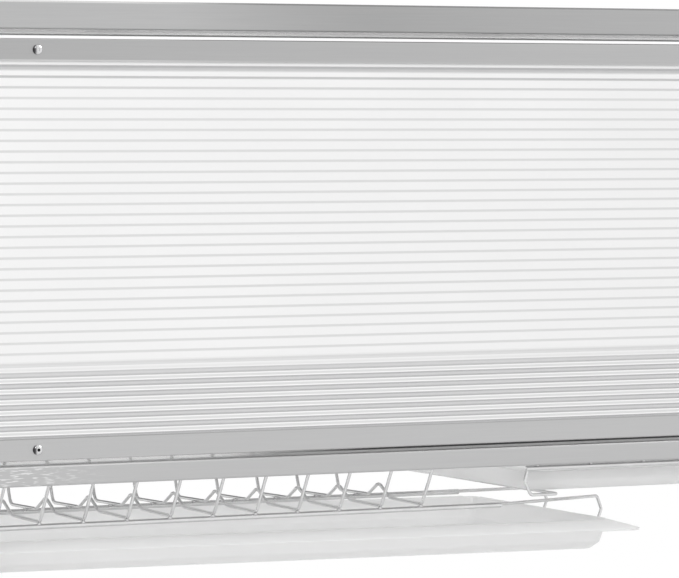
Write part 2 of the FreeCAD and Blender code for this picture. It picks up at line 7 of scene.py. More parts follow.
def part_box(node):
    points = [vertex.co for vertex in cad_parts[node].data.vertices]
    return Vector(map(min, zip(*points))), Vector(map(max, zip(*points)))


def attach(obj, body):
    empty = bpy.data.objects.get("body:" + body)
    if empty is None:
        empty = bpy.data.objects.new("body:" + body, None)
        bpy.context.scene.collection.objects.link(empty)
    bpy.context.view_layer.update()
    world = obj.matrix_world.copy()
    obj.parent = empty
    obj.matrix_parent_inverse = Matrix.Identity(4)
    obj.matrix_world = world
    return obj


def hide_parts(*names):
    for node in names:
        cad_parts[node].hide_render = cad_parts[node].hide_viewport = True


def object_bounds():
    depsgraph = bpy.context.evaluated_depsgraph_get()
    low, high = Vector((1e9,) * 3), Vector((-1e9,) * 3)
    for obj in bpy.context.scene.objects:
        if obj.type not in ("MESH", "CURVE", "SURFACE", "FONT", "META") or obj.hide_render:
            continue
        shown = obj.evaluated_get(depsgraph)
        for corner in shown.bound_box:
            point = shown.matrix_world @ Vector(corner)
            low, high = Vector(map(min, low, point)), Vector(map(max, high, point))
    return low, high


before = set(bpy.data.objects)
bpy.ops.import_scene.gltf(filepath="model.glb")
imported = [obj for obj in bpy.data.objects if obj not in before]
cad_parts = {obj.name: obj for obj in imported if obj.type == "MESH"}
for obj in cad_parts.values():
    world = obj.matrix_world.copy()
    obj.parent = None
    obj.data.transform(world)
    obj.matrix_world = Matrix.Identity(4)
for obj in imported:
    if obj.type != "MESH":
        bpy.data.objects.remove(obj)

cad_box = [list(corner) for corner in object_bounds()]
bpy.context.scene.view_settings.view_transform = "Standard"


# Cross rails of the cabinet
# The long rails are folded from thin stainless sheet and welded between the posts.
# Their outer faces are belt-brushed along their length, which leaves fine streaks and slow changes of tone.
# The broad change of brightness from end to end is a painted reflection, the lines along the folds are
# painted highlight and shade, and the bright waves at the left of the low rail are painted highlights.

def effect_group(name, inputs, outputs):
    """A shader node group with named sockets; gives back the group and the sockets inside its two ends."""
    group = bpy.data.node_groups.new(name, "ShaderNodeTree")
    for socket, kind, value in inputs:
        made = group.interface.new_socket(name=socket, in_out="INPUT", socket_type=kind)
        if value is not None:
            made.default_value = value
    for socket in outputs:
        group.interface.new_socket(name=socket, in_out="OUTPUT", socket_type="NodeSocketFloat")
    return group, group.nodes.new("NodeGroupInput").outputs, group.nodes.new("NodeGroupOutput").inputs


def feed(tree, value, socket):
    """Links a socket to another one, or sets it to a plain number or colour."""
    if isinstance(value, bpy.types.NodeSocket):
        tree.links.new(value, socket)
    else:
        socket.default_value = (*value, 1.0) if isinstance(value, tuple) else value


def arithmetic(tree, operation, *values):
    """A Math node on sockets or plain numbers; gives back its output."""
    node = tree.nodes.new("ShaderNodeMath")
    node.operation = operation
    for value, socket in zip(values, node.inputs):
        feed(tree, value, socket)
    return node.outputs[0]


def distance_from(tree, value, middle):
    """How far a value is from a middle one, on either side."""
    return arithmetic(tree, "ABSOLUTE", arithmetic(tree, "SUBTRACT", value, middle))


def spread(tree, value, low, high, new_low, new_high):
    """A smooth Map Range of a value; gives back its output."""
    node = tree.nodes.new("ShaderNodeMapRange")
    node.interpolation_type = "SMOOTHSTEP"
    for name, number in (("From Min", low), ("From Max", high), ("To Min", new_low), ("To Max", new_high)):
        node.inputs[name].default_value = number
    tree.links.new(value, node.inputs["Value"])
    return node.outputs["Result"]


def toned(tree, value, new_low, new_high):
    """The middle range of a noise or a tone, spread from one number to another."""
    return spread(tree, value, 0.3, 0.7, new_low, new_high)


def noise(tree, place, scale, detail, roughness):
    """A Noise Texture read at place; gives back its factor."""
    node = tree.nodes.new("ShaderNodeTexNoise")
    feed(tree, scale, node.inputs["Scale"])
    node.inputs["Detail"].default_value = detail
    node.inputs["Roughness"].default_value = roughness
    tree.links.new(place, node.inputs["Vector"])
    return node.outputs["Fac"]


def blended(tree, factor, first, second, how="MIX"):
    """A Mix node on two colours; gives back its output."""
    node = tree.nodes.new("ShaderNodeMix")
    node.data_type = "RGBA"
    node.blend_type = how
    feed(tree, factor, node.inputs["Factor"])
    for value, socket in zip((first, second), [s for s in node.inputs if s.type == "RGBA"]):
        feed(tree, value, socket)
    return [s for s in node.outputs if s.type == "RGBA"][0]


def grey(value, blue=0.0):
    """A grey, with a little blue added where it is given."""
    return (value, value, value + blue)


def axes(tree, place):
    """The sockets X, Y and Z of a place."""
    node = tree.nodes.new("ShaderNodeSeparateXYZ")
    tree.links.new(place, node.inputs[0])
    return node.outputs


def stretched(tree, place, scale):
    """A place with its axes scaled, which draws a pattern out along the small one."""
    node = tree.nodes.new("ShaderNodeMapping")
    node.inputs["Scale"].default_value = scale
    tree.links.new(place, node.inputs["Vector"])
    return node.outputs["Vector"]


def new_finish(name):
    """A material with its node tree, its Principled shader and its object coordinates."""
    material = bpy.data.materials.new(name)
    material.use_nodes = True
    tree = material.node_tree
    place = tree.nodes.new("ShaderNodeTexCoord").outputs["Object"]
    return material, tree, tree.nodes["Principled BSDF"], place


def effect(tree, group, **values):
    """Places a node group in a material, with its inputs set or linked; gives back its outputs."""
    node = tree.nodes.new("ShaderNodeGroup")
    node.node_tree = group
    for name, value in values.items():
        feed(tree, value, node.inputs[name.capitalize()])
    return node.outputs


def relief(tree, shader, height, depth, strength):
    """A Bump node under the shader's normal; depth is in metres."""
    bump = tree.nodes.new("ShaderNodeBump")
    bump.inputs["Strength"].default_value = strength
    bump.inputs["Distance"].default_value = depth
    tree.links.new(height, bump.inputs["Height"])
    tree.links.new(bump.outputs["Normal"], shader.inputs["Normal"])


brushing, brushed_at, brushing_out = effect_group(
    "belt_brushing",
    [("Place", "NodeSocketVector", None), ("Streaks", "NodeSocketFloat", 900.0)],
    ["Tone", "Height"])
fine = noise(brushing, brushed_at["Place"], brushed_at["Streaks"], 3.0, 0.6)
wide = noise(brushing, brushed_at["Place"], 150.0, 2.0, 0.5)
slow = noise(brushing, brushed_at["Place"], 5.0, 1.0, 0.4)
tone = arithmetic(brushing, "MULTIPLY_ADD", fine, 0.45, arithmetic(brushing, "MULTIPLY", wide, 0.25))
tone = arithmetic(brushing, "MULTIPLY_ADD", slow, 0.3, tone)
height = arithmetic(brushing, "MULTIPLY_ADD", wide, 0.4, arithmetic(brushing, "MULTIPLY", fine, 0.6))
feed(brushing, tone, brushing_out["Tone"])
feed(brushing, height, brushing_out["Height"])

along_x = (0.02, 1.0, 1.0)
along_y = (1.0, 0.02, 1.0)
along_z = (1.0, 1.0, 0.02)
overall_width = cad_box[1][0] - cad_box[0][0]


def painted_reflection_sweep(tree, colour, across, reflection_sweep):
    """A painted reflection: the slow change of brightness from the left end to the right one, given as (share
    of the width, brightness).
    """
    ramp = tree.nodes.new("ShaderNodeValToRGB")
    points = ramp.color_ramp.elements
    ramp.color_ramp.interpolation = "B_SPLINE"
    for count, (where, value) in enumerate(reflection_sweep):
        point = points[count] if count < 2 else points.new(where)
        point.position = where
        point.color = (*grey(value), 1.0)
    feed(tree, arithmetic(tree, "MULTIPLY_ADD", across, 1.0 / overall_width, 0.5), ramp.inputs["Fac"])
    return blended(tree, 1.0, colour, ramp.outputs["Color"], "MULTIPLY")


def painted_ripple_highlights(tree, colour, place, across, start, end):
    """Painted highlights on the waves of the pressed sheet at the left, which fade out from start to end."""
    waves = noise(tree, stretched(tree, place, (0.13, 1.0, 1.0)), 900.0, 2.0, 0.5)
    highlight_crests = spread(tree, waves, 0.50, 0.66, 0.0, 1.0)
    near = spread(tree, across, start, end, 1.0, 0.0)
    return blended(tree, arithmetic(tree, "MULTIPLY", highlight_crests, near), colour, grey(0.78))


def painted_fold_light(tree, colour, parts, height, reach, left, right):
    """A painted line of highlight and shade along a fold, which changes from its left tone to its right one.
    """
    left_end, right_start = -0.30, -0.16
    tone = blended(tree, spread(tree, parts["X"], left_end, right_start, 0.0, 1.0), grey(left), grey(right))
    away = distance_from(tree, parts["Z"], height)
    return blended(tree, spread(tree, away, 0.4 * reach, reach, 1.0, 0.0), colour, tone)


def brushed_steel(name, stretch, dark, light, reflection_sweep=(), ripple_highlights=None, folds=()):
    """Stainless sheet whose streaks run along the axis that stretch makes small, with the painted reflection,
    ripple highlights and fold lines of highlight and shade where they are given.
    """
    material, tree, shader, place = new_finish(name)
    marks = effect(tree, brushing, place=stretched(tree, place, stretch))
    parts = axes(tree, place)
    colour = blended(tree, toned(tree, marks["Tone"], 0.0, 1.0), dark, light)
    if reflection_sweep:
        colour = painted_reflection_sweep(tree, colour, parts["X"], reflection_sweep)
    if ripple_highlights:
        colour = painted_ripple_highlights(tree, colour, place, parts["X"], *ripple_highlights)
    for fold in folds:
        colour = painted_fold_light(tree, colour, parts, *fold)
    feed(tree, colour, shader.inputs["Base Color"])
    feed(tree, toned(tree, marks["Tone"], 0.40, 0.34), shader.inputs["Roughness"])
    shader.inputs["Metallic"].default_value = 1.0
    relief(tree, shader, marks["Height"], 0.00001, 0.2)
    return material


def dress(material, *names):
    """Gives carried-over nodes their finish."""
    for name in names:
        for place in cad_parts[name].material_slots:
            place.material = material


# The rails' upper folds carry painted lines of highlight and shade.
rail_fold_inset = 0.0004
top_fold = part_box("front_top_rail")[1].z - rail_fold_inset
low_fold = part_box("front_bottom_rail")[1].z - rail_fold_inset
# Painted highlights: bright waves at the left end of the low rail, fading out between these two places.
ripple_highlight_fade = (-0.37, -0.29)
# Painted reflection: the rails are lighter at the left and darker from about a third of the way along.
rail_reflection_sweep = [(0.0, 1.13), (0.10, 1.12), (0.20, 1.04), (0.36, 0.76), (0.46, 0.84), (0.62, 0.89), (1.0, 0.98)]
rail_steel = brushed_steel(
    "brushed_rail_steel", along_x, grey(0.480, 0.003), grey(0.515),
    reflection_sweep=rail_reflection_sweep, folds=[(top_fold, 0.0013, 0.66, 0.24)])
dress(rail_steel, "front_top_rail", "rear_top_rail")
low_rail_steel = brushed_steel(
    "brushed_low_rail_steel", along_x, grey(0.518, 0.003), grey(0.548),
    ripple_highlights=ripple_highlight_fade, folds=[(low_fold, 0.0009, 0.70, 0.52)])
dress(low_rail_steel, "front_bottom_rail", "rear_bottom_rail")


# Side frames
# Square stainless tube, cut square and welded into two ladders that stand on the worktop beside the sink.
# The posts are brushed up and down, and the side rails from front to back.

post_steel = brushed_steel("brushed_post_steel", along_z, grey(0.44, 0.005), grey(0.57))
dress(post_steel, "front_left_post", "front_right_post", "rear_left_post", "rear_right_post")
side_steel = brushed_steel("brushed_side_steel", along_y, grey(0.44, 0.005), grey(0.57))
for side in ("left", "right"):
    dress(side_steel, side + "_base_rail", side + "_lower_side_rail")
    dress(side_steel, side + "_upper_side_rail", side + "_side_strips")


# Rubber feet and door stops
# Moulded from soft grey-black rubber; the feet are pushed into the ends of the posts.
# The surface is matt, with fine grain and a dusting of wear.

grain, grain_at, grain_out = effect_group(
    "moulded_grain",
    [("Place", "NodeSocketVector", None), ("Size", "NodeSocketFloat", 900.0)],
    ["Tone", "Height"])
pits = noise(grain, grain_at["Place"], grain_at["Size"], 2.0, 0.5)
patches = noise(grain, grain_at["Place"], 24.0, 3.0, 0.6)
tone = arithmetic(grain, "MULTIPLY_ADD", patches, 0.7, arithmetic(grain, "MULTIPLY", pits, 0.3))
feed(grain, tone, grain_out["Tone"])
feed(grain, pits, grain_out["Height"])


def moulded(name, dark, light, roughness, size, depth):
    """A moulded plastic or rubber with its grain."""
    material, tree, shader, place = new_finish(name)
    marks = effect(tree, grain, place=place, size=size)
    feed(tree, blended(tree, toned(tree, marks["Tone"], 0.0, 1.0), dark, light), shader.inputs["Base Color"])
    feed(tree, toned(tree, marks["Tone"], roughness + 0.06, roughness - 0.06), shader.inputs["Roughness"])
    relief(tree, shader, marks["Height"], depth, 0.5)
    return material


rubber = moulded(
    "foot_rubber", grey(0.020, 0.001), grey(0.045, 0.001), roughness=0.72, size=900.0, depth=0.00003)
dress(rubber, "rubber_feet", "door_stops")


# Post caps, pivot blocks and clips
# Injection-moulded grey plastic: flat caps in the tops of the posts, the two corner blocks of the door
# that turn on the hinge pins, and the clips that hold the rear wall's sheet.

grey_plastic = moulded(
    "moulded_grey_plastic", grey(0.17, 0.005), grey(0.23, 0.005), roughness=0.45, size=1400.0, depth=0.00002)
dress(grey_plastic, "post_caps", "door_pivot_blocks", "rear_panel_clips")


# Strips of the door and of the rear wall
# Thin stainless sheet folded over the edges of the clear sheets and brushed along its length. The door's top
# strip gets a painted reflection that lightens it towards the right, and both door strips get painted
# highlight and shade along their folds.
# The door's strips end at its edge channels, the rear ones at the posts.

head_strip_foot, head_strip_top = [corner.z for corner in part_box("door_top_strip")]
foot_strip_foot, foot_strip_top = [corner.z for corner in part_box("door_bottom_strip")]
strip_fold_inset = 0.0002
head_foot_fold_inset = 0.0004
# Painted reflection, lighter towards the right end, and painted highlight and shade along both folds.
strip_steel = brushed_steel(
    "brushed_strip_steel", along_x, grey(0.500, 0.003), grey(0.530),
    reflection_sweep=[(0.0, 0.86), (0.16, 0.88), (0.42, 0.94), (0.6, 0.96), (1.0, 0.99)],
    folds=[(head_strip_top - strip_fold_inset, 0.0006, 0.50, 0.22),
           (head_strip_foot + head_foot_fold_inset, 0.0008, 0.62, 0.52)])
dress(strip_steel, "door_top_strip")
# Painted highlight and shade along the folds of the foot strip.
foot_strip_steel = brushed_steel(
    "brushed_foot_strip_steel", along_x, grey(0.526, 0.003), grey(0.551),
    folds=[(foot_strip_top - strip_fold_inset, 0.0006, 0.40, 0.44),
           (foot_strip_foot + strip_fold_inset, 0.0007, 0.60, 0.52)])
dress(foot_strip_steel, "door_bottom_strip")
rear_strip_steel = brushed_steel("brushed_rear_strip_steel", along_x, grey(0.500, 0.003), grey(0.530))
dress(rear_strip_steel, "rear_top_strip", "rear_bottom_strip")
edge_steel = brushed_steel("brushed_edge_steel", along_z, grey(0.45, 0.005), grey(0.57))
dress(edge_steel, "door_left_edge", "door_right_edge")


# Seal under the door
# A soft strip of rubber on the bottom rail's lip, which the door's foot closes against.
# It is pale and partly clear at the left. Towards the right its upper edge is painted dark as shade in the
# gap under the door, and at the left that edge is painted a little lighter as light through the gap.

seal_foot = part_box("door_seal")[0].z
pale_end, shade_start = -0.20, -0.08
clear_end, solid_start = -0.22, -0.14
seal_rubber, tree, shader, place = new_finish("seal_rubber")
marks = effect(tree, grain, place=place, size=1100.0)
parts = axes(tree, place)
# Painted shade and light: the upper edge is dark towards the right and a little lighter at the left.
edge_light_and_shade = spread(tree, parts["Z"], seal_foot + 0.00145, seal_foot + 0.00195, 0.0, 1.0)
above_lip = spread(tree, parts["Z"], seal_foot + 0.00045, seal_foot + 0.00095, 0.0, 1.0)
shaded_part = blended(tree, edge_light_and_shade, grey(0.92), grey(0.045, 0.001))
pale_part = blended(tree, edge_light_and_shade, grey(0.90), grey(0.95))
to_the_right = spread(tree, parts["X"], pale_end, shade_start, 0.0, 1.0)
feed(tree, blended(tree, to_the_right, pale_part, shaded_part), shader.inputs["Base Color"])
feed(tree, toned(tree, marks["Tone"], 0.55, 0.42), shader.inputs["Roughness"])
clear = arithmetic(tree, "MULTIPLY", above_lip, spread(tree, parts["X"], clear_end, solid_start, 1.0, 0.0))
feed(tree, arithmetic(tree, "MULTIPLY_ADD", clear, -0.65, 1.0), shader.inputs["Alpha"])
relief(tree, shader, marks["Height"], 0.00002, 0.4)
dress(seal_rubber, "door_seal")


# Clear ribbed sheets of the door, the rear wall, the sides and the roof
# Extruded twin-wall plastic: two thin clear skins with a web every 7.5 mm between them.
# The webs show as fine grey lines, and the skins as a faint milky haze. Near the door's head and foot strips
# the door's sheet carries painted shade and painted highlights.

# Widths within a cell are shares of the pitch, from the web to the cell's middle.
web_pitch = 0.007475
web_half, web_fade = 0.07, 0.16
open_end, brim_start = 0.24, 0.29
brim_middle, brim_half, brim_fade = 0.335, 0.03, 0.07
ribs, ribs_at, ribs_out = effect_group(
    "sheet_ribs",
    [("Along", "NodeSocketFloat", 0.0), ("Start", "NodeSocketFloat", 0.0)],
    ["Web", "Open", "Brim"])
cell = arithmetic(ribs, "DIVIDE", arithmetic(ribs, "SUBTRACT", ribs_at["Along"], ribs_at["Start"]), web_pitch)
from_web = distance_from(ribs, cell, arithmetic(ribs, "ROUND", cell))
from_brim = distance_from(ribs, from_web, brim_middle)
feed(ribs, spread(ribs, from_web, web_half, web_fade, 1.0, 0.0), ribs_out["Web"])
feed(ribs, spread(ribs, from_web, open_end, brim_start, 1.0, 0.0), ribs_out["Open"])
feed(ribs, spread(ribs, from_brim, brim_half, brim_fade, 1.0, 0.0), ribs_out["Brim"])


def looking_rays(tree):
    """One for rays that look at a surface, straight, in a mirror or through glass, and else nought."""
    rays = tree.nodes.new("ShaderNodeLightPath").outputs
    looking = arithmetic(tree, "MAXIMUM", rays["Is Camera Ray"], rays["Is Glossy Ray"])
    return arithmetic(tree, "MAXIMUM", looking, rays["Is Transmission Ray"])


def passing(tree, veil, share):
    """The veil as it is for looks and mirrors, and only a share of it for the light that comes through."""
    looks = looking_rays(tree)
    if isinstance(veil, float):
        return arithmetic(tree, "MULTIPLY_ADD", looks, veil * (1.0 - share), veil * share)
    return arithmetic(tree, "MULTIPLY", veil, arithmetic(tree, "MULTIPLY_ADD", looks, 1.0 - share, share))


def shade_under_the_head(tree, look, along, webs):
    """Painted shade just under the door's head strip: greyer webs and a grey band, where the sheet is also
    clearer.
    """
    milk, web, veil = look
    near_head = spread(tree, along, head_strip_foot - 0.0258, head_strip_foot - 0.0028, 0.0, 1.0)
    from_band = distance_from(tree, along, head_strip_foot - 0.0047)
    band = spread(tree, from_band, 0.0009, 0.0029, 1.0, 0.0)
    clearer = arithmetic(tree, "MAXIMUM", band, arithmetic(tree, "MULTIPLY", near_head, webs["Web"]))
    # Painted shade: a grey band and greyer webs just under the head strip.
    milk = blended(tree, band, milk, grey(0.62, 0.005))
    web = blended(tree, near_head, web, grey(0.50, 0.005))
    return milk, web, arithmetic(tree, "MULTIPLY_ADD", clearer, -0.28, veil)


def light_and_shade_over_the_foot(tree, look, along, webs):
    """Painted shade and highlights where the rear wall's foot strip stands behind the sheet: darker milk,
    darker lines in the open cells and bright brims between them.
    """
    milk, web, veil = look
    near_foot = spread(tree, along, foot_strip_top + 0.0392, foot_strip_top + 0.0572, 1.0, 0.0)
    shaded_open_cells = arithmetic(tree, "MULTIPLY", webs["Open"], near_foot)
    brim_highlight = arithmetic(tree, "MULTIPLY", webs["Brim"], near_foot)
    # Painted shade over the foot: darker milk and darker lines, with painted highlights on the brims.
    milk = blended(tree, near_foot, milk, grey(0.745))
    milk = blended(tree, shaded_open_cells, milk, grey(0.50, 0.005))
    milk = blended(tree, brim_highlight, milk, grey(0.98))
    web = blended(tree, near_foot, web, grey(0.67, 0.005))
    return milk, web, arithmetic(tree, "MULTIPLY_ADD", shaded_open_cells, -0.24, veil)


def ribbed_sheet(name, axis, start, veil, tone=0.895, changes=()):
    """Milky twin-wall sheet whose webs follow each other along axis from start, changed near its strips."""
    material, tree, shader, place = new_finish(name)
    along = axes(tree, place)[axis]
    webs = effect(tree, ribs, along=along, start=start)
    cloud = noise(tree, place, 7.0, 2.0, 0.5)
    milk = blended(tree, toned(tree, cloud, 0.0, 1.0), grey(tone - 0.01), grey(tone + 0.01))
    look = (milk, blended(tree, cloud, grey(0.73), grey(0.70)), veil)
    for change in changes:
        look = change(tree, look, along, webs)
    milk, web, veil = look
    feed(tree, blended(tree, webs["Web"], milk, web), shader.inputs["Base Color"])
    feed(tree, passing(tree, veil, share=0.15), shader.inputs["Alpha"])
    feed(tree, toned(tree, cloud, 0.20, 0.14), shader.inputs["Roughness"])
    return material


door_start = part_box("door_panel")[0].z + 0.00528
rear_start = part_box("rear_panel")[0].z + 0.00155
side_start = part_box("left_side_panel")[0].z + 0.0054
door_sheet = ribbed_sheet("door_sheet", "Z", door_start, veil=0.96, changes=(shade_under_the_head, light_and_shade_over_the_foot))
dress(door_sheet, "door_panel")
dress(ribbed_sheet("rear_sheet", "Z", rear_start, veil=0.80), "rear_panel")
dress(ribbed_sheet("side_sheet", "Z", side_start, veil=0.90), "left_side_panel", "right_side_panel")
dress(ribbed_sheet("roof_sheet", "Y", 0.0, veil=0.90, tone=0.66), "top_panel")
bpy.context.scene.cycles.transparent_max_bounces = 48


# Screws of the door strips
# Stainless button-head screws with a six-sided socket, one near each end of both strips.
# They are turned and polished, so their domes pick up small bright reflections, and the left side of each
# dome is painted dark as a reflection.

def grown_parts(grown, kind):
    """The new edges or vertices that an operator gives back."""
    return [item for item in grown if isinstance(item, kind)]


def edges_of(verts):
    """All edges at some vertices, each of them once."""
    return list(dict.fromkeys(edge for vert in verts for edge in vert.link_edges))


def placed_mesh(bm, name, material):
    """Makes the finished mesh an object of the scene."""
    mesh = bpy.data.meshes.new(name)
    bm.to_mesh(mesh)
    bm.free()
    mesh.materials.append(material)
    piece = bpy.data.objects.new(name, mesh)
    bpy.context.scene.collection.objects.link(piece)
    return piece


def closed_piece(bm, name, material):
    """A closed mesh as an object, with smooth faces and its sharp edges kept."""
    sharp_angle = 0.7
    bmesh.ops.recalc_face_normals(bm, faces=bm.faces)
    for edge in bm.edges:
        edge.smooth = edge.calc_face_angle(0.0) < sharp_angle
    for face in bm.faces:
        face.smooth = True
    return placed_mesh(bm, name, material)


screw_inset = 0.048
screw_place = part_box("door_right_edge")[1].x - screw_inset
strip_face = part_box("door_top_strip")[0].y
screw_heights = ((head_strip_foot + head_strip_top) / 2.0, (foot_strip_foot + foot_strip_top) / 2.0)
head_radius = 0.0037
head_top = 0.0020
dome = ((0.0005, head_radius), (0.0011, 0.0034), (0.0016, 0.0028), (0.0019, 0.0022), (head_top, 0.0017))
socket_radius = 0.00125
socket_depth = 0.0012
shank_radius = 0.0015
shank_length = 0.004
forwards = Matrix.Rotation(math.radians(90.0), 4, "X")

screw_steel, tree, shader, place = new_finish("turned_screw_steel")
marks = effect(tree, brushing, place=place, streaks=2600.0)
from_left_screw = arithmetic(tree, "ADD", axes(tree, place)["X"], screw_place)
across_its_head = arithmetic(tree, "WRAP", from_left_screw, screw_place, -screw_place)
bright = blended(tree, marks["Tone"], grey(0.56, 0.01), grey(0.86))
# Painted reflection: each dome is dark on its left side.
painted_dark_reflection = spread(tree, across_its_head, -0.0028, -0.0006, 1.0, 0.0)
feed(tree, blended(tree, painted_dark_reflection, bright, grey(0.06, 0.002)), shader.inputs["Base Color"])
feed(tree, toned(tree, marks["Tone"], 0.22, 0.14), shader.inputs["Roughness"])
shader.inputs["Metallic"].default_value = 1.0
relief(tree, shader, marks["Height"], 0.00001, 0.3)

screws = bmesh.new()
for x in (-screw_place, screw_place):
    for z in screw_heights:
        seat = Matrix.Translation((x, strip_face, z)) @ forwards
        unseat = seat.inverted()
        rim = bmesh.ops.create_circle(screws, segments=28, radius=head_radius, matrix=seat)["verts"]
        loop = edges_of(rim)
        for height, radius in dome:
            grown = bmesh.ops.extrude_edge_only(screws, edges=loop)["geom"]
            loop = grown_parts(grown, bmesh.types.BMEdge)
            for vert in grown_parts(grown, bmesh.types.BMVert):
                flat = unseat @ vert.co
                flat *= radius / flat.xy.length
                vert.co = seat @ Vector((flat.x, flat.y, height))
        socket = bmesh.ops.create_circle(
            screws, segments=6, radius=socket_radius, matrix=seat @ Matrix.Translation((0.0, 0.0, head_top)))
        mouth = edges_of(socket["verts"])
        bmesh.ops.bridge_loops(screws, edges=loop + mouth)
        sunk = bmesh.ops.extrude_edge_only(screws, edges=mouth)["geom"]
        bmesh.ops.translate(screws, verts=grown_parts(sunk, bmesh.types.BMVert), vec=(0.0, socket_depth, 0.0))
        bmesh.ops.contextual_create(screws, geom=grown_parts(sunk, bmesh.types.BMEdge))
        bmesh.ops.contextual_create(screws, geom=rim)
        bmesh.ops.create_cone(
            screws, cap_ends=True, segments=16, radius1=shank_radius, radius2=shank_radius,
            depth=shank_length, matrix=Matrix.Translation((x, strip_face + shank_length / 2.0, z)) @ forwards)
door_screws = closed_piece(screws, "button_head_screws", screw_steel)
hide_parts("door_screws")
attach(door_screws, "door")


# Hinge pins and washers
# Turned steel pins, pressed through the posts, with a washer each side of the door.
# They are bright, with faint turning marks.

pin_steel, tree, shader, place = new_finish("turned_pin_steel")
marks = effect(tree, brushing, place=place, streaks=1800.0)
feed(tree, blended(tree, marks["Tone"], grey(0.52, 0.01), grey(0.66)), shader.inputs["Base Color"])
feed(tree, toned(tree, marks["Tone"], 0.26, 0.16), shader.inputs["Roughness"])
shader.inputs["Metallic"].default_value = 1.0
relief(tree, shader, marks["Height"], 0.00001, 0.3)
dress(pin_steel, "hinge_pins", "hinge_washers")


# Plate rack
# Eleven bright steel wires bent to a W, spot-welded on four bars that run along the rack.
# The top bars lie on the rails; the foot bars run on to the right, to the tray's hanger.

wire_steel, tree, shader, place = new_finish("plated_wire_steel")
marks = effect(tree, brushing, place=place, streaks=400.0)
smudges = noise(tree, place, 60.0, 3.0, 0.6)
feed(tree, blended(tree, smudges, grey(0.65, 0.005), grey(0.85)), shader.inputs["Base Color"])
feed(tree, spread(tree, smudges, 0.35, 0.7, 0.08, 0.16), shader.inputs["Roughness"])
shader.inputs["Metallic"].default_value = 1.0
relief(tree, shader, marks["Height"], 0.00001, 0.25)

mm = 0.001
wire_radius = 1.25 * mm
bar_radius = 2.0 * mm
bar_end_round = 0.6 * mm
bead_radius = 1.3 * mm
step_angle = 12.0
rail_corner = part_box("front_bottom_rail")[0]


def on_rack(x, depth, height):
    """A point in mm: along the rack, behind the rail's front face and above its underside."""
    return Vector((x * mm, rail_corner.y + depth * mm, rail_corner.z + height * mm))


def limits_of(name):
    """A carried-over piece's left and right end and its front and rear depth, in mm."""
    low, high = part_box(name)
    return low.x / mm, high.x / mm, (low.y - rail_corner.y) / mm, (high.y - rail_corner.y) / mm


def bent_wire(bm, points, bends):
    """Draws a round wire through points, bent round each inner one with its own radius in mm."""
    run = (points[1] - points[0]).normalized()
    facing = Matrix.Translation(points[0]) @ run.to_track_quat("Z", "Y").to_matrix().to_4x4()
    section = bmesh.ops.create_circle(bm, segments=12, radius=wire_radius, matrix=facing)
    start = edges_of(section["verts"])
    loop = start
    place = points[0]
    for before, corner, after, bend in zip(points, points[1:], points[2:], bends):
        inward = (corner - before).normalized()
        outward = (after - corner).normalized()
        turn = inward.angle(outward)
        reach = bend * mm * math.tan(turn / 2.0)
        stop = corner - inward * reach
        grown = bmesh.ops.extrude_edge_only(bm, edges=loop)["geom"]
        bmesh.ops.translate(bm, verts=grown_parts(grown, bmesh.types.BMVert), vec=stop - place)
        centre = stop + (outward - inward * inward.dot(outward)).normalized() * bend * mm
        axis = inward.cross(outward).normalized()
        steps = max(1, math.ceil(math.degrees(turn) / step_angle))
        spun = bmesh.ops.spin(
            bm, geom=grown_parts(grown, bmesh.types.BMEdge), cent=centre, axis=axis, angle=turn, steps=steps,
            use_duplicate=False)
        loop = grown_parts(spun["geom_last"], bmesh.types.BMEdge)
        place = corner + outward * reach
    grown = bmesh.ops.extrude_edge_only(bm, edges=loop)["geom"]
    bmesh.ops.translate(bm, verts=grown_parts(grown, bmesh.types.BMVert), vec=points[-1] - place)
    for end in (start, grown_parts(grown, bmesh.types.BMEdge)):
        bmesh.ops.contextual_create(bm, geom=end)


def straight_bar(bm, left, right, depth, height):
    """A straight bar along the rack, with its ends rounded off."""
    middle = on_rack((left + right) / 2.0, depth, height)
    made = bmesh.ops.create_cone(
        bm, cap_ends=True, segments=16, radius1=bar_radius, radius2=bar_radius, depth=(right - left) * mm,
        matrix=Matrix.Translation(middle) @ Matrix.Rotation(math.radians(90.0), 4, "Y"))
    ends = [edge for edge in edges_of(made["verts"])
            if len({vert.co.x > middle.x for vert in edge.verts}) == 1]
    bmesh.ops.bevel(bm, geom=ends, offset=bar_end_round, segments=3, profile=0.5, affect="EDGES", material=-1)


def weld_spot(bm, place):
    """The small squeezed bead where a wire is welded on a bar."""
    bead = bmesh.ops.create_icosphere(
        bm, subdivisions=2, radius=bead_radius, matrix=Matrix.Translation(place))
    bmesh.ops.scale(bm, vec=(1.35, 1.35, 0.8), verts=bead["verts"], space=Matrix.Translation(-place))


# A wire's profile, the bars and their welds are given as depth and height in mm.
plate_floor = -29.0
hump_foot = plate_floor + 0.8
hump_peak = plate_floor + 10.8
wire_top = 8.0
shoulder_height = 19.75
wire_tail = 291.0
top_front_bar = (12.7, 3.05)
top_rear_bar = (289.0, 16.45)
top_front_weld = (14.2, 4.2)
top_rear_weld = (289.0, 18.5)
wire_front = 13.68
plate_wire_count = 11
plate_wire_first = -372.6
plate_wire_pitch = 34.4
plate_places = [plate_wire_first + plate_wire_pitch * count for count in range(plate_wire_count)]
plate_profile = [
    (wire_front, wire_top), (35.3, plate_floor), (86.0, hump_foot), (103.5, hump_peak), (121.0, hump_foot),
    (169.0, plate_floor), (188.0, shoulder_height), (wire_tail, shoulder_height)]
plate_bends = [6.0, 12.0, 8.0, 10.0, 7.0, 7.0]

wires = bmesh.new()
for x in plate_places:
    bent_wire(wires, [on_rack(x, depth, height) for depth, height in plate_profile], plate_bends)
plate_wires = closed_piece(wires, "plate_rack_wires", wire_steel)
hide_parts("plate_wires")
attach(plate_wires, "frame")

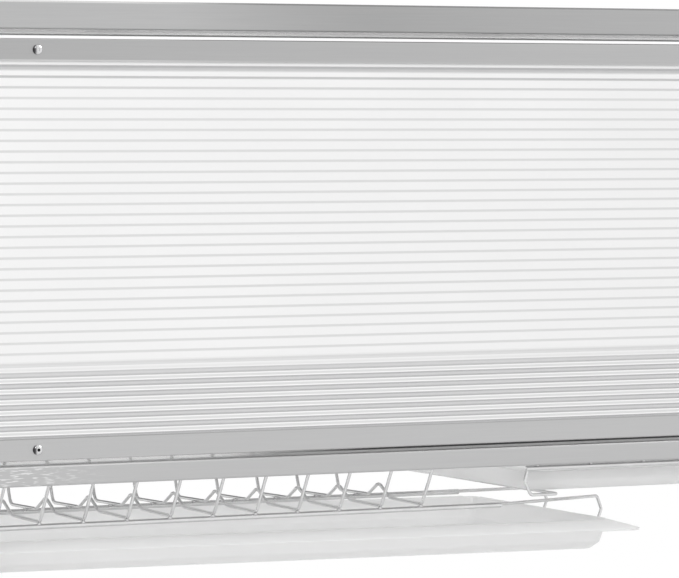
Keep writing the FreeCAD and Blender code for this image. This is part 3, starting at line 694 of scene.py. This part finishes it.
rack_left, rack_right = limits_of("plate_rack_top_bars")[:2]
bars = bmesh.new()
straight_bar(bars, rack_left, rack_right, *top_front_bar)
straight_bar(bars, rack_left, rack_right, *top_rear_bar)
for x in plate_places:
    weld_spot(bars, on_rack(x, *top_front_weld))
    weld_spot(bars, on_rack(x, *top_rear_weld))
plate_top_bars = closed_piece(bars, "plate_rack_top_bars_round", wire_steel)
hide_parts("plate_rack_top_bars")
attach(plate_top_bars, "frame")

front_foot_bar = (36.5, -32.3)
rear_foot_bar = (141.0, -31.83)
front_foot_weld = (36.5, -30.3)
rear_foot_weld = (141.0, -29.8)
foot_bar_step = 21.4
rear_foot_end = limits_of("plate_rack_foot_bars")[1]
front_foot_end = rear_foot_end - foot_bar_step
bars = bmesh.new()
straight_bar(bars, rack_left, front_foot_end, *front_foot_bar)
straight_bar(bars, rack_left, rear_foot_end, *rear_foot_bar)
for x in plate_places:
    weld_spot(bars, on_rack(x, *front_foot_weld))
    weld_spot(bars, on_rack(x, *rear_foot_weld))
plate_foot_bars = closed_piece(bars, "plate_rack_foot_bars_round", wire_steel)
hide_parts("plate_rack_foot_bars")
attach(plate_foot_bars, "frame")


# Hangers of the plate tray
# One wire at each end of the foot bars, bent down and under the tray's lip, and welded to both bars.
# The tray's rim slides on them.

plate_tray_length = 558.0
plate_tray_left = limits_of("plate_drip_tray")[0]
plate_tray_front, plate_tray_rear = limits_of("plate_drip_tray")[2:]
plate_tray_right = plate_tray_left + plate_tray_length
arm_gap = 3.55
arm_bulge = 4.0
lip_grip = 9.0
weld_start, weld_end = 16.0, 4.0
arm_front, arm_rear = 96.0, 180.0
wire_on_bar = 3.3
front_weld_depth = front_foot_bar[0] + wire_on_bar
rear_weld_depth = rear_foot_bar[0] + wire_on_bar
wire_bend = 3.2
for side, front_end, rear_end, lip_end, high, low, node in (
        (-1, rack_left, rack_left, plate_tray_left, -32.3, -50.15, "left_tray_hanger"),
        (1, front_foot_end, rear_foot_end, plate_tray_right, -35.22, -55.99, "right_tray_hanger")):
    arm = lip_end + side * arm_gap
    bulge = arm + side * arm_bulge
    inner = lip_end - side * lip_grip
    middle = (high + low) / 2.0
    hanger_points = [
        (front_end - side * weld_start, front_weld_depth, front_foot_bar[1]),
        (front_end - side * weld_end, front_weld_depth, front_foot_bar[1]),
        (arm, arm_front, high), (bulge, arm_front, middle), (arm, arm_front, low), (inner, arm_front, low),
        (inner, arm_rear, low), (arm, arm_rear, low), (bulge, arm_rear, middle), (arm, arm_rear, high),
        (rear_end - side * weld_end, rear_weld_depth, rear_foot_bar[1]),
        (rear_end - side * weld_start, rear_weld_depth, rear_foot_bar[1])]
    hanger = bmesh.new()
    bent_wire(hanger, [on_rack(*point) for point in hanger_points], [wire_bend] * (len(hanger_points) - 2))
    hanger = closed_piece(hanger, node + "_wire", wire_steel)
    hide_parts(node)
    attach(hanger, "frame")


# Bowl rack
# Eight straight-floored wires, wrapped over a low front bar and welded on three bars under them.
# Their tails lie on the rear rail.

bowl_floor = -0.6
bowl_bar_height = -3.9
bowl_weld_height = -1.9
bowl_bar_depths = (20.5, 140.0, 257.0)
bowl_wire_count = 8
bowl_wire_first = 62.3
bowl_wire_pitch = 46.671
bowl_places = [bowl_wire_first + bowl_wire_pitch * count for count in range(bowl_wire_count)]
bowl_profile = [
    (wire_front, wire_top), (18.7, bowl_floor), (262.0, bowl_floor), (270.0, shoulder_height),
    (wire_tail, shoulder_height)]
bowl_bends = [4.0, 6.0, 6.0]

wires = bmesh.new()
for x in bowl_places:
    bent_wire(wires, [on_rack(x, depth, height) for depth, height in bowl_profile], bowl_bends)
bowl_wires = closed_piece(wires, "bowl_rack_wires", wire_steel)
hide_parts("bowl_wires")
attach(bowl_wires, "frame")

bowl_left, bowl_right = limits_of("bowl_rack_bars")[:2]
bars = bmesh.new()
straight_bar(bars, bowl_left, bowl_right, *top_front_bar)
straight_bar(bars, bowl_left, bowl_right, *top_rear_bar)
for depth in bowl_bar_depths:
    straight_bar(bars, bowl_left, bowl_right, depth, bowl_bar_height)
    for x in bowl_places:
        weld_spot(bars, on_rack(x, depth, bowl_weld_height))
for x in bowl_places:
    weld_spot(bars, on_rack(x, *top_rear_weld))
bowl_bars = closed_piece(bars, "bowl_rack_bars_round", wire_steel)
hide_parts("bowl_rack_bars")
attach(bowl_bars, "frame")


# Runners of the bowl tray
# A wire under each end of the bowl tray, hung from the rack's front and rear bars.
# Each runs under the tray's floor from front to back, and the tray slides on them.

bowl_tray_left, bowl_tray_right, bowl_tray_front, bowl_tray_rear = limits_of("bowl_drip_tray")
arm_inset = 2.25
head_lean = 1.25
foot_lean = 4.0
runner_inset = 25.0
runner_weld = 12.0
runner_front, runner_rear = 23.8, 276.55
runner_weld_rear = 260.3
runner_low = -24.55
runner_middle = -14.23
for side, bar_end, tray_end, node in (
        (-1, bowl_left, bowl_tray_left, "left_bowl_runner"),
        (1, bowl_right, bowl_tray_right, "right_bowl_runner")):
    arm = bar_end - side * arm_inset
    head = arm - side * head_lean
    bulge = arm + side * head_lean
    foot = arm - side * foot_lean
    inner = tray_end - side * runner_inset
    weld = head - side * runner_weld
    runner_points = [
        (weld, runner_front, bowl_bar_height), (head, runner_front, bowl_bar_height),
        (bulge, runner_front, runner_middle), (foot, runner_front, runner_low),
        (inner, runner_front, runner_low), (inner, runner_rear, runner_low),
        (foot, runner_rear, runner_low), (bulge, runner_rear, runner_middle),
        (head, runner_rear, bowl_bar_height), (head, runner_weld_rear, bowl_bar_height),
        (weld, runner_weld_rear, bowl_bar_height)]
    runner = bmesh.new()
    bent_wire(runner, [on_rack(*point) for point in runner_points], [wire_bend] * (len(runner_points) - 2))
    runner = closed_piece(runner, node + "_wire", wire_steel)
    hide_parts(node)
    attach(runner, "frame")


# Plate drip tray
# Vacuum-formed translucent white plastic, with rounded corners and a rim that slopes out and down.
# The rim's lip rests on the hangers, so the tray pulls out to the front.

tray_plastic, tree, shader, place = new_finish("white_tray_plastic")
marks = effect(tree, grain, place=place, size=500.0)
clouds = noise(tree, place, 6.0, 1.0, 0.4)
milk = arithmetic(tree, "MULTIPLY_ADD", marks["Tone"], 0.25, arithmetic(tree, "MULTIPLY", clouds, 0.75))
feed(tree, blended(tree, toned(tree, milk, 0.0, 1.0), grey(0.890), grey(0.906)), shader.inputs["Base Color"])
feed(tree, toned(tree, clouds, 0.38, 0.32), shader.inputs["Roughness"])
relief(tree, shader, marks["Height"], 0.00001, 0.15)
shader.inputs["Subsurface Weight"].default_value = 0.6
shader.inputs["Subsurface Radius"].default_value = (1.0, 1.0, 1.0)
shader.inputs["Subsurface Scale"].default_value = 0.004
feed(tree, passing(tree, toned(tree, clouds, 0.66, 0.68), share=0.10), shader.inputs["Alpha"])

tray_wall = 1.5
edge_round = 0.4
fold_angle = 0.25


def formed_tray(name, limits, rings, soft, slope=0.0):
    """Forms a tray from its lip down to its floor, through rings of (inset, height, corner radius) in mm."""
    left, right, front, rear = limits
    bm = bmesh.new()
    loops = []
    for inset, height, corner in rings:
        known = set(bm.faces)
        verts = bmesh.ops.create_grid(bm, x_segments=1, y_segments=1, size=0.5)["verts"]
        reach = ((right - left - 2.0 * inset) * mm, (rear - front - 2.0 * inset) * mm, 1.0)
        bmesh.ops.scale(bm, vec=reach, verts=verts)
        bmesh.ops.translate(bm, vec=on_rack((left + right) / 2.0, (front + rear) / 2.0, height), verts=verts)
        bmesh.ops.bevel(
            bm, geom=verts, offset=corner * mm, segments=9, profile=0.5, affect="VERTICES", material=-1)
        face = [item for item in bm.faces if item not in known][0]
        loops.append(list(face.edges))
        if inset != rings[-1][0]:
            bmesh.ops.delete(bm, geom=[face], context="FACES_ONLY")
    for outer, inner in zip(loops, loops[1:]):
        bmesh.ops.bridge_loops(bm, edges=outer + inner)
    folds = [edge for edge in bm.edges
             if len(edge.link_faces) == 2 and edge.calc_face_angle(0.0) > fold_angle]
    bmesh.ops.bevel(bm, geom=folds, offset=soft * mm, segments=3, profile=0.5, affect="EDGES", material=-1)
    bmesh.ops.recalc_face_normals(bm, faces=bm.faces)
    if max(bm.faces, key=lambda face: face.calc_area()).normal.z < 0.0:
        bmesh.ops.reverse_faces(bm, faces=bm.faces)
    bmesh.ops.rotate(
        bm, cent=on_rack(left, front, rings[0][1]), matrix=Matrix.Rotation(math.radians(slope), 3, "Y"),
        verts=bm.verts)
    for face in bm.faces:
        face.smooth = True
    tray = placed_mesh(bm, name, tray_plastic)
    skin = tray.modifiers.new("wall", "SOLIDIFY")
    skin.thickness = tray_wall * mm
    skin.offset = -1.0
    edge = tray.modifiers.new("edge", "BEVEL")
    edge.width = edge_round * mm
    edge.segments = 2
    edge.limit_method = "ANGLE"
    edge.angle_limit = math.radians(50.0)
    return tray


lip_inset = 0.6
plate_limits = (plate_tray_left + lip_inset, plate_tray_right - lip_inset,
                plate_tray_front + lip_inset, plate_tray_rear - lip_inset)
lip_ring = (0.0, -47.2, 13.4)
rim_ring = (19.4, -41.5, 8.0)
mouth_ring = (21.2, -42.1, 8.0)
wall_foot_ring = (24.5, -58.0, 8.0)
floor_ring = (29.5, -63.0, 8.0)
plate_rings = [lip_ring, rim_ring, mouth_ring, wall_foot_ring, floor_ring]
plate_tray = formed_tray("plate_tray_shell", plate_limits, plate_rings, soft=1.0, slope=0.6)
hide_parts("plate_drip_tray")
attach(plate_tray, "plate_tray")


# Bowl drip tray
# The shallower tray of the same white plastic, folded once round its side.
# It slides on the two runner wires.

bowl_limits = (bowl_tray_left + tray_wall, bowl_tray_right - tray_wall,
               bowl_tray_front + tray_wall, bowl_tray_rear - tray_wall)
edge_ring = (0.0, -7.0, 22.5)
fold_ring = (1.0, -14.0, 21.5)
floor_ring = (8.5, -21.5, 14.0)
bowl_tray = formed_tray("bowl_tray_shell", bowl_limits, [edge_ring, fold_ring, floor_ring], soft=0.8)
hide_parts("bowl_drip_tray")
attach(bowl_tray, "bowl_tray")


# Worktop and background
# A plain pale floor under the feet, which keeps the rack's shadow and fades into white around it.
# The world behind it is white to look at, and lights the rack a little less brightly than that.

floor_radius = 2.4
fade_start, fade_end = 0.7, 1.7
floor_finish, tree, shader, place = new_finish("pale_floor")
speckle = noise(tree, place, 40.0, 2.0, 0.5)
feed(tree, blended(tree, speckle, grey(0.86), grey(0.89)), shader.inputs["Base Color"])
shader.inputs["Roughness"].default_value = 0.8
from_middle = tree.nodes.new("ShaderNodeVectorMath")
from_middle.operation = "LENGTH"
feed(tree, place, from_middle.inputs[0])
faded = spread(tree, from_middle.outputs["Value"], fade_start, fade_end, 0.0, 1.0)
mixed = tree.nodes.new("ShaderNodeMixShader")
feed(tree, arithmetic(tree, "MULTIPLY", looking_rays(tree), faded), mixed.inputs[0])
feed(tree, shader.outputs[0], mixed.inputs[1])
feed(tree, tree.nodes.new("ShaderNodeEmission").outputs[0], mixed.inputs[2])
feed(tree, mixed.outputs[0], tree.nodes["Material Output"].inputs["Surface"])

floor_mesh = bmesh.new()
bmesh.ops.create_circle(floor_mesh, cap_ends=True, segments=64, radius=floor_radius)
floor = placed_mesh(floor_mesh, "studio_floor", floor_finish)

world = bpy.data.worlds.new("studio")
bpy.context.scene.world = world
world.use_nodes = True
tree = world.node_tree
background = tree.nodes["Background"]
feed(tree, grey(1.0), background.inputs["Color"])
feed(tree, spread(tree, looking_rays(tree), 0.0, 1.0, 0.62, 1.0), background.inputs["Strength"])


# Studio lamps and camera
# Two wide soft lamps above, left and right of the front, and the camera low on the left with a long lens.
# Both lamps look at the middle of the rack.

rack_middle = Vector((0.0, 0.0, 0.55))
lamp_size = 1.8
for name, place, power in (("left_lamp", (-2.4, -2.2, 2.8), 62.0), ("right_lamp", (2.6, -1.0, 2.9), 34.0)):
    lamp = bpy.data.lights.new(name, "AREA")
    lamp.size = lamp_size
    lamp.energy = power
    holder = bpy.data.objects.new(name, lamp)
    holder.location = place
    holder.rotation_euler = (rack_middle - Vector(place)).to_track_quat("-Z", "Y").to_euler()
    bpy.context.scene.collection.objects.link(holder)

view = bpy.data.cameras.new("photo_camera")
view.lens = 227.3
view.sensor_width = 36.0
view.clip_end = 50.0
camera = bpy.data.objects.new("photo_camera", view)
camera.location = (-1.5523, -2.9126, 0.7035)
turn = Matrix.Rotation(-0.4793, 3, "Z")
tilt = Matrix.Rotation(math.radians(90.0) - 0.04455, 3, "X")
roll = Matrix.Rotation(0.00275, 3, "Z")
camera.rotation_euler = (turn @ tilt @ roll).to_euler()
bpy.context.scene.collection.objects.link(camera)
bpy.context.scene.camera = camera
